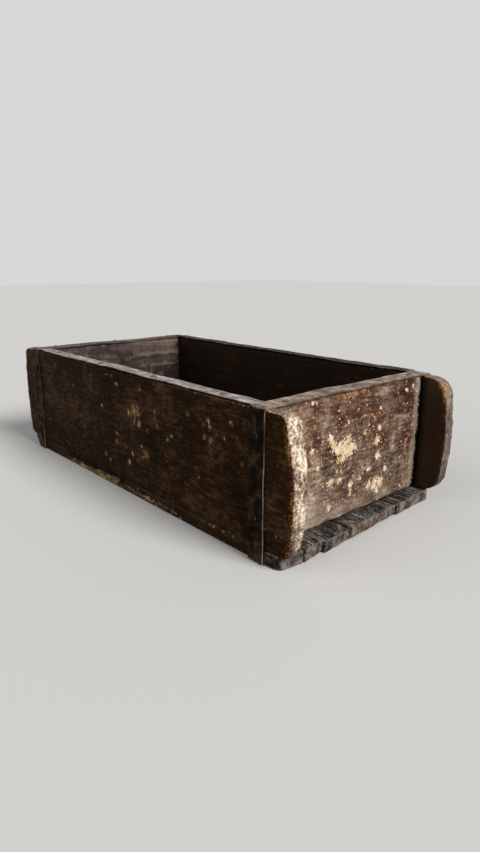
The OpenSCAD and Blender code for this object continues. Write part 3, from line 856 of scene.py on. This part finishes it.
# the thin edges are worn pale and painted as highlights, the legs' most of all
edge = add(tree, "Math", {0: facing[0]}, operation="ABSOLUTE")
edge = add(tree, "MapRange", {0: edge, 1: 0.5, 2: 0.75})
leg = add(tree, "MapRange", {0: z, 1: 84, 2: 82.4, 3: 0.5, 4: 1})
bend = add(tree, "MapRange", {0: y, 1: -56, 2: -63})
leg = add(tree, "Math", {0: leg, 1: bend}, operation="MAXIMUM")
dim = add(tree, "MapRange", {0: x, 1: -126, 2: -120, 3: 0.6, 4: 1})
gleam = add(tree, "MapRange", {0: sheen, 1: 0.42, 2: 0.58, 3: 0.45, 4: 1})
thin = add(tree, "Math", {0: y}, operation="ABSOLUTE")
thin = add(tree, "MapRange", {0: thin, 1: 74.9, 2: 75.3, 3: 0.25, 4: 1})
top = add(tree, "MapRange", {0: z, 1: 82, 2: 83.4})
thin = add(tree, "Math", {0: thin, 1: top}, operation="MAXIMUM")
for limit in (leg, dim, gleam, thin):
    edge = add(tree, "Math", {0: edge, 1: limit}, operation="MULTIPLY")
edge_wear_and_highlight = add(tree, "MapRange", {0: z, 1: 76, 2: 56})
edge_wear_and_highlight = add(tree, "Mix", {0: edge_wear_and_highlight, 6: linear("#9c8973"), 7: linear("#cdc0ae")}, 2, data_type="RGBA")
coats = ((on_top, grey), (brown, tarnish), (rusty, rust), (edge, edge_wear_and_highlight))
dress(tree, shader, dark, coats, relief=mixture(tree, (pits, 0.2), (blotch, 0.3)),
      roughness=add(tree, "MapRange", {0: blotch, 3: 0.7, 4: 0.45}), shine=0.03)
shader.inputs["Metallic"].default_value = OXIDE_METALLIC


def flat_strip(name, middle, along, across, cuts):
    """A flat strip of iron with no thickness yet, cut into small faces along X and along Y."""
    bpy.ops.object.select_all(action="DESELECT")
    bpy.ops.mesh.primitive_grid_add(x_subdivisions=cuts[0], y_subdivisions=cuts[1], size=1, location=middle)
    strip = bpy.context.active_object
    strip.scale = (along, across, 1)
    bpy.ops.object.transform_apply(location=True, rotation=True, scale=True)
    strip.name = strip.data.name = name
    return strip


def temper(strip, seed, sway, nails):
    """Gives a thin strip its uneven edges, the places where it has lifted between its nails, its dents,
    its thickness and its eased edges."""
    gaps = [min((vertex.co - Vector(nail) * MM).length for nail in nails) for vertex in strip.data.vertices]
    weigh(strip, "loose", [rising(gap / MM, *LOOSE) for gap in gaps], digits=9)
    press(strip, "uneven_edges", "CLOUDS", 16 * MM, 1.1 * MM, 0.5, seed, direction=sway)
    press(strip, "lifted", "CLOUDS", 40 * MM, 1.6 * MM, 0.4, seed, "loose")
    press(strip, "dented", "CLOUDS", 8 * MM, 0.35 * MM, 0.5, seed)
    strip.vertex_groups.clear()
    thick = strip.modifiers.new("thickness", "SOLIDIFY")
    thick.thickness = IRON
    thick.offset = -1
    take(strip)
    bpy.ops.object.modifier_apply(modifier=thick.name)
    ease = strip.modifiers.new("eased_edges", "BEVEL")
    ease.width = IRON_EDGE
    ease.segments = 2
    ease.limit_method = "ANGLE"
    ease.angle_limit = math.radians(50)
    bpy.ops.object.modifier_apply(modifier=ease.name)
    bpy.ops.object.shade_smooth_by_angle(angle=math.radians(40))


for seed, (node, end) in enumerate((("left_end_strap", -1), ("right_end_strap", 1)), start=11):
    low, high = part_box(node)
    flat = 2 * (high.y - STRAP_BEND)
    strap = flat_strip(node + "_worn", ((low.x + high.x) / 2, 0, high.z), high.x - low.x, flat, (8, 100))
    drop = (high.z - STRAP_BEND - low.z) / LEG_STEPS
    for side in (-1, 1):
        bpy.ops.object.mode_set(mode="EDIT")
        bpy.ops.mesh.select_all(action="DESELECT")
        bpy.ops.object.mode_set(mode="OBJECT")
        for vertex in strap.data.vertices:
            on_edge = abs(vertex.co.y - side * flat / 2) < 0.01 * MM
            vertex.select = on_edge and abs(vertex.co.z - high.z) < 0.01 * MM
        bpy.ops.object.mode_set(mode="EDIT")
        bpy.ops.mesh.select_mode(type="VERT")
        bpy.ops.mesh.spin(steps=BEND_STEPS, angle=side * math.pi / 2, axis=(1, 0, 0),
                          center=(0, side * flat / 2, high.z - STRAP_BEND))
        for step in range(LEG_STEPS):
            bpy.ops.mesh.extrude_region_move(TRANSFORM_OT_translate={"value": (0, 0, -drop)})
        bpy.ops.mesh.select_all(action="SELECT")
        bpy.ops.mesh.remove_doubles(threshold=0.02 * MM)
        bpy.ops.mesh.normals_make_consistent(inside=False)
        bpy.ops.object.mode_set(mode="OBJECT")
    highest = max(strap.data.polygons, key=lambda face: face.center.z - abs(face.center.y))
    if highest.normal.z < 0:
        strap.data.flip_normals()
    temper(strap, seed, "X", [(end * x, y, z) for x, y, z in LEG_NAILS + TOP_NAILS])
    strap.data.materials.append(hoop_iron)
    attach(strap, "root")
    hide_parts(node)

# Rim strips
# A strip of the same iron lies flat along the top of each side board, between the two straps.
# Four nails hold it down, and it has lifted a little between them.
RIM_NAILS = (-98.7, -32.9, 32.9, 98.7)

for seed, node in enumerate(("front_rim_strip", "rear_rim_strip"), start=14):
    low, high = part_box(node)
    across = (low.y + high.y) / 2
    strip = flat_strip(node + "_worn", (0, across, high.z), high.x - low.x, high.y - low.y, (180, 7))
    temper(strip, seed, "Y", [(x, across / MM, NAIL_LEVEL) for x in RIM_NAILS])
    strip.data.materials.append(hoop_iron)
    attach(strip, "root")
    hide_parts(node)

# Nails
# Hand-made iron nails hold it all together: through the legs and tops of the straps, through the rim strips,
# and up through the planks into the boards, where their heads are sunk. The heads are flat and hammered.
NAIL_HEAD = 2.1 * MM
NAIL_RISE = 0.7 * MM
NAIL_SHANK = 0.9 * MM
NAIL_LENGTH = 26 * MM
NAIL_POINT = 4 * MM
NAIL_TAPER = 0.25
# the head is domed in two steps, in mm: inset and rise
HEAD_STEPS = ((0.5, 0.12), (0.8, 0.1))
HEAD_RIM_DROP = 0.3 * MM
# the way that a nail is driven, as a turn about X in degrees
DOWN, UP, INTO_REAR, INTO_FRONT = 0, 180, 90, -90
# length in mm, and how much of the height of its head a nail keeps
LEG_NAIL = (26, 0.5)
TOP_NAIL = (18, 0.45)
BASE_NAIL = (28, 1)
RIM_NAIL_ACROSS = 69.25
BASE_NAIL_LEVEL = 1.0


def pick(piece, chosen):
    """Selects the faces that a test chooses, and goes to edit mode."""
    take(piece)
    bpy.ops.object.mode_set(mode="EDIT")
    bpy.ops.mesh.select_mode(type="FACE")
    bpy.ops.mesh.select_all(action="DESELECT")
    bpy.ops.object.mode_set(mode="OBJECT")
    for face in piece.data.polygons:
        face.select = chosen(face)
    bpy.ops.object.mode_set(mode="EDIT")


bpy.ops.object.select_all(action="DESELECT")
bpy.ops.mesh.primitive_cylinder_add(vertices=14, radius=NAIL_HEAD, depth=NAIL_RISE,
                                    location=(0, 0, NAIL_RISE / 2))
bpy.ops.object.transform_apply(location=True, rotation=True, scale=True)
nail = bpy.context.active_object
pick(nail, lambda face: face.normal.z > 0.9)
for inset, rise in HEAD_STEPS:
    bpy.ops.mesh.inset(thickness=inset * MM)
    bpy.ops.transform.translate(value=(0, 0, rise * MM))
bpy.ops.object.mode_set(mode="OBJECT")
# the rim of the head is hammered down
for vertex in nail.data.vertices:
    if vertex.co.z > 0.9 * NAIL_RISE and vertex.co.xy.length > 0.9 * NAIL_HEAD:
        vertex.co.z -= HEAD_RIM_DROP
pick(nail, lambda face: face.normal.z < -0.9)
bpy.ops.mesh.inset(thickness=NAIL_HEAD - NAIL_SHANK)
bpy.ops.mesh.extrude_region_move(TRANSFORM_OT_translate={"value": (0, 0, NAIL_POINT - NAIL_LENGTH)})
bpy.ops.mesh.extrude_region_move(TRANSFORM_OT_translate={"value": (0, 0, -NAIL_POINT)})
bpy.ops.transform.resize(value=(NAIL_TAPER, NAIL_TAPER, 1))
bpy.ops.object.mode_set(mode="OBJECT")

# Nail iron. Dull black forge scale with brown rust, a little brighter where a head faces up or endwards:
# rubbed on the heads on top, and painted highlights on the rims.
nail_iron, tree, shader = new_finish("forged_nail_iron")
at = in_mm(tree)
facing = add(tree, "SeparateXYZ", {0: add(tree, "TexCoord", {}, 1)}).node.outputs
scale = add(tree, "TexNoise", {0: at, 2: 1 / 1.6, 3: 4, 4: 0.6})
black = add(tree, "ValToRGB", {0: scale}, stops=((0.36, "#0b0704"), (0.52, "#17100a"), (0.66, "#32261a")))
on_top = mixture(tree, (scale, 0.5), start=facing[2])
on_top = add(tree, "MapRange", {0: on_top, 1: 0.85, 2: 1.2})
endward = add(tree, "Math", {0: facing[0], 1: add(tree, "SeparateXYZ", {0: at})}, operation="MULTIPLY")
endward = add(tree, "MapRange", {0: endward, 1: 55, 2: 100})
# on the heads on top this is rubbing, and on the rims of the others a painted highlight
rubbed = add(tree, "Math", {0: on_top, 1: endward}, operation="MAXIMUM")
dress(tree, shader, black, ((rubbed, linear("#75695f")),), relief=scale, depth=0.3 * MM,
      roughness=add(tree, "MapRange", {0: scale, 3: 0.35, 4: 0.65}), shine=0.05)
shader.inputs["Metallic"].default_value = OXIDE_METALLIC

nail_places = {}
for end, name in ((-1, "left"), (1, "right")):
    nail_places[name + "_strap_leg_nails"] = [
        (INTO_REAR if y < 0 else INTO_FRONT, (end * x, y, z), *LEG_NAIL) for x, y, z in LEG_NAILS]
    nail_places[name + "_strap_top_nails"] = [(DOWN, (end * x, y, z), *TOP_NAIL) for x, y, z in TOP_NAILS]
for side, name in ((-1, "front"), (1, "rear")):
    nail_places[name + "_rim_nails"] = [
        (DOWN, (x, side * RIM_NAIL_ACROSS, NAIL_LEVEL), *TOP_NAIL) for x in RIM_NAILS]
for node, holes in NAIL_HOLES.items():
    nail_places[node.replace("plank", "nails")] = [
        (UP, (side * spread, across, BASE_NAIL_LEVEL), *BASE_NAIL)
        for spread, across in holes for side in (-1, 1)]
dice = random.Random(3)
for node, places in nail_places.items():
    copies = []
    for driven, place, length, rise in places:
        copy = nail.copy()
        copy.data = nail.data.copy()
        bpy.context.collection.objects.link(copy)
        for vertex in copy.data.vertices:
            if vertex.co.z < -MM:
                vertex.co.z *= length * MM / NAIL_LENGTH
            elif vertex.co.xy.length > NAIL_SHANK:
                vertex.co.xy *= dice.uniform(0.9, 1.05)
                vertex.co.z = rise * (vertex.co.z + dice.uniform(-0.06, 0.06) * MM)
        turns = (("X", driven), ("Z", dice.uniform(0, 360)), ("X", dice.uniform(-3, 3)))
        copy.matrix_world = placing(Vector(place) * MM, *turns)
        copies.append(copy)
    nails = gather(copies, node + "_worn")
    take(nails)
    bpy.ops.object.transform_apply(location=True, rotation=True, scale=True)
    bpy.ops.object.shade_smooth_by_angle(angle=math.radians(35))
    nails.data.materials.append(nail_iron)
    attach(nails, "root")
    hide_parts(node)
bpy.data.objects.remove(nail)

# Floor, light and camera
# A plain pale floor under soft studio light from the right, seen from close by and a little above.
FLOOR_SPAN = 8
CAMERA_AT = (0.3302, -0.2642, 0.1508)
CAMERA_YAW = 138.11
CAMERA_DOWN = 15.59
CAMERA_ROLL = 0.26
CAMERA_LENS = 24.44
# name, the way that it stands, softness in degrees and strength
LAMPS = (("key", (1.0, 0.15, 0.72), 24, 3.0), ("fill", (-0.3, -1.0, 0.6), 60, 0.75))
# how strongly the white world lights the object, and how bright it is to see
WORLD_LIGHT = 0.25
WORLD_SEEN = 0.68


def background_seen(tree):
    """1 for a ray that shows the background, also in metal and glass, and 0 for one that lights."""
    rays = add(tree, "LightPath", {}).node.outputs
    seen = add(tree, "Math", {0: rays["Is Camera Ray"], 1: rays["Is Glossy Ray"]}, operation="MAXIMUM")
    return add(tree, "Math", {0: seen, 1: rays["Is Transmission Ray"]}, operation="MAXIMUM")


# Pale paper. Matt and even. It lights the object as a mid grey, and the camera sees it paler.
bpy.ops.object.select_all(action="DESELECT")
bpy.ops.mesh.primitive_plane_add(size=FLOOR_SPAN)
floor = bpy.context.active_object
floor.name = "floor"
paper, tree, shader = new_finish("pale_paper")
seen = background_seen(tree)
shade = add(tree, "Mix", {0: seen, 6: linear("#8a8a88"), 7: linear("#d9d8d5")}, 2, data_type="RGBA")
tree.links.new(shade, shader.inputs["Base Color"])
shader.inputs["Roughness"].default_value = 1
shader.inputs["Specular IOR Level"].default_value = 0
floor.data.materials.append(paper)

bpy.ops.object.camera_add(location=CAMERA_AT)
camera = bpy.context.active_object
camera.matrix_world = placing(CAMERA_AT, ("Z", CAMERA_YAW - 90), ("X", 90 - CAMERA_DOWN), ("Z", CAMERA_ROLL))
camera.data.sensor_width = 36
camera.data.lens = CAMERA_LENS
camera.data.clip_start = 0.01
bpy.context.scene.camera = camera

for name, place, softness, strength in LAMPS:
    aim = Vector(place).to_track_quat("Z", "Y").to_euler()
    bpy.ops.object.light_add(type="SUN", location=place, rotation=aim)
    lamp = bpy.context.active_object
    lamp.name = name
    lamp.data.angle = math.radians(softness)
    lamp.data.energy = strength
world = bpy.data.worlds.new("studio")
bpy.context.scene.world = world
world.use_nodes = True
tree = world.node_tree
light = tree.nodes["Background"]
strength = add(tree, "MapRange", {0: background_seen(tree), 3: WORLD_LIGHT, 4: WORLD_SEEN})
light.inputs["Color"].default_value = (1, 1, 1, 1)
tree.links.new(strength, light.inputs["Strength"])
bpy.context.scene.view_settings.view_transform = "Standard"
